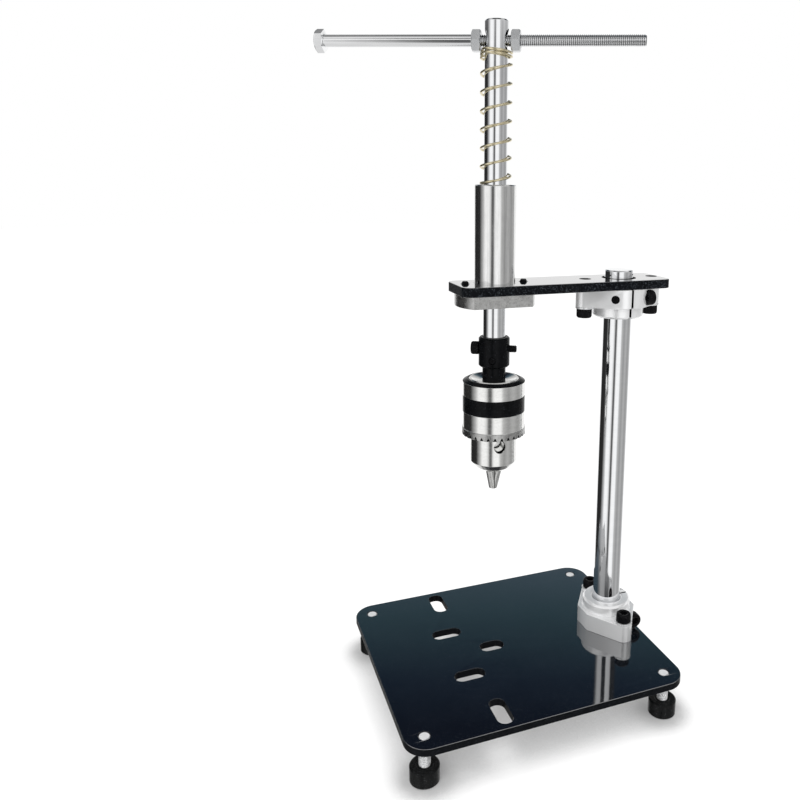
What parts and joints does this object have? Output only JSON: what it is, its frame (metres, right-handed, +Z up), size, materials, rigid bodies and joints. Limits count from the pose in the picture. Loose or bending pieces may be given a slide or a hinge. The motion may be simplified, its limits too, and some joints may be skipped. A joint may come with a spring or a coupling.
{
  "type": "manual tapping machine",
  "caption": "Hand tapping machine: slotted base plate on levelling feet, round column, cross arm with guide, sprung spindle with cross handle and keyed drill chuck.",
  "frame": {"origin": "on the floor plane, under the middle of the base plate", "axes": "+X to the right along the front edge, towards the column; +Y to the back; +Z up"},
  "size_m": [0.1826, 0.135, 0.3636],
  "materials": {
    "plate_black": "gloss",
    "clamp_aluminium": "matte",
    "screw_black": "satin",
    "pad_rubber": "satin",
    "stud_zinc": "satin",
    "rod_chrome": "polished",
    "guide_steel": "satin",
    "retainer_resin": "matte",
    "ball_steel": "polished",
    "seal_rubber": "matte",
    "spring_wire": "satin",
    "handle_zinc": "satin",
    "adapter_black": "satin",
    "chuck_steel": "satin",
    "jaw_steel": "satin"
  },
  "bodies": {
    "base": {"base_plate": "plate_black", "base_clamp": "clamp_aluminium", "base_clamp_bolts": "screw_black"},
    "base_screw": {"base_clamp_screw": "screw_black"},
    "foot_fl": {"foot_pad_fl": "pad_rubber", "foot_stud_fl": "stud_zinc"},
    "foot_fr": {"foot_pad_fr": "pad_rubber", "foot_stud_fr": "stud_zinc"},
    "foot_bl": {"foot_pad_bl": "pad_rubber", "foot_stud_bl": "stud_zinc"},
    "foot_br": {"foot_pad_br": "pad_rubber", "foot_stud_br": "stud_zinc"},
    "column": {"column": "rod_chrome"},
    "arm": {"arm_plate": "plate_black", "arm_clamp": "clamp_aluminium", "arm_clamp_bolts": "screw_black", "guide_sleeve": "guide_steel", "guide_retainer": "retainer_resin", "guide_balls": "ball_steel", "guide_seals": "seal_rubber", "guide_end_rings": "guide_steel", "guide_screws": "screw_black"},
    "arm_screw": {"arm_clamp_screw": "screw_black"},
    "spring": {"return_spring": "spring_wire"},
    "spindle": {"spindle": "rod_chrome", "handle_bolt": "handle_zinc", "handle_nuts": "handle_zinc", "adapter": "adapter_black", "adapter_bolt": "adapter_black", "adapter_grub": "adapter_black", "chuck_body": "chuck_steel"},
    "chuck_sleeve": {"chuck_sleeve": "chuck_steel", "chuck_nut": "chuck_steel"},
    "jaw_1": {"jaw_1": "jaw_steel"},
    "jaw_2": {"jaw_2": "jaw_steel"},
    "jaw_3": {"jaw_3": "jaw_steel"}
  },
  "joints": [
    {"name": "foot_fl_height", "type": "slide", "parent": "base", "child": "foot_fl", "axis": [0, 0, 1], "range_m": [-0.002, 0.01]},
    {"name": "foot_fr_height", "type": "slide", "parent": "base", "child": "foot_fr", "axis": [0, 0, 1], "range_m": [-0.002, 0.01]},
    {"name": "foot_bl_height", "type": "slide", "parent": "base", "child": "foot_bl", "axis": [0, 0, 1], "range_m": [-0.002, 0.01]},
    {"name": "foot_br_height", "type": "slide", "parent": "base", "child": "foot_br", "axis": [0, 0, 1], "range_m": [-0.002, 0.01]},
    {"name": "base_screw_turn", "type": "hinge", "parent": "base", "child": "base_screw", "pos_m": [0.0745, -0.0105, 0.02915], "axis": [0, -1, 0], "range_deg": [0, 720]},
    {"name": "column_turn", "type": "hinge", "parent": "base", "child": "column", "pos_m": [0.063, 0, 0.024], "axis": [0, 0, 1], "continuous": true},
    {"name": "arm_height", "type": "slide", "parent": "column", "child": "arm", "axis": [0, 0, 1], "range_m": [-0.04, 0.003]},
    {"name": "arm_screw_turn", "type": "hinge", "parent": "arm", "child": "arm_screw", "pos_m": [0.0735, -0.0115, 0.22385], "axis": [1, 0, 0], "range_deg": [0, 720]},
    {"name": "spindle_feed", "type": "slide", "parent": "arm", "child": "spring", "axis": [0, 0, 1], "range_m": [-0.05, 0], "stiffness_N_per_m": 860, "springref_m": 0.00992, "deforming": ["return_spring"]},
    {"name": "spindle_turn", "type": "hinge", "parent": "spring", "child": "spindle", "pos_m": [-0.011, 0, 0.3], "axis": [0, 0, 1], "continuous": true},
    {"name": "chuck_turn", "type": "hinge", "parent": "spindle", "child": "chuck_sleeve", "pos_m": [-0.011, 0, 0.16], "axis": [0, 0, -1], "range_deg": [0, 2700]},
    {"name": "jaw_1_slide", "type": "slide", "parent": "spindle", "child": "jaw_1", "axis": [0.1912, -0.1339, 0.9724], "range_m": [0, 0.0182]},
    {"name": "jaw_2_slide", "type": "slide", "parent": "spindle", "child": "jaw_2", "axis": [0.0203, 0.2326, 0.9724], "range_m": [0, 0.0182]},
    {"name": "jaw_3_slide", "type": "slide", "parent": "spindle", "child": "jaw_3", "axis": [-0.2116, -0.0987, 0.9724], "range_m": [0, 0.0182]}
  ],
  "couplings": [
    {"joint": "jaw_1_slide", "follows": "chuck_turn", "m_per_rad": 0.0003862},
    {"joint": "jaw_2_slide", "follows": "chuck_turn", "m_per_rad": 0.0003862},
    {"joint": "jaw_3_slide", "follows": "chuck_turn", "m_per_rad": 0.0003862}
  ]
}
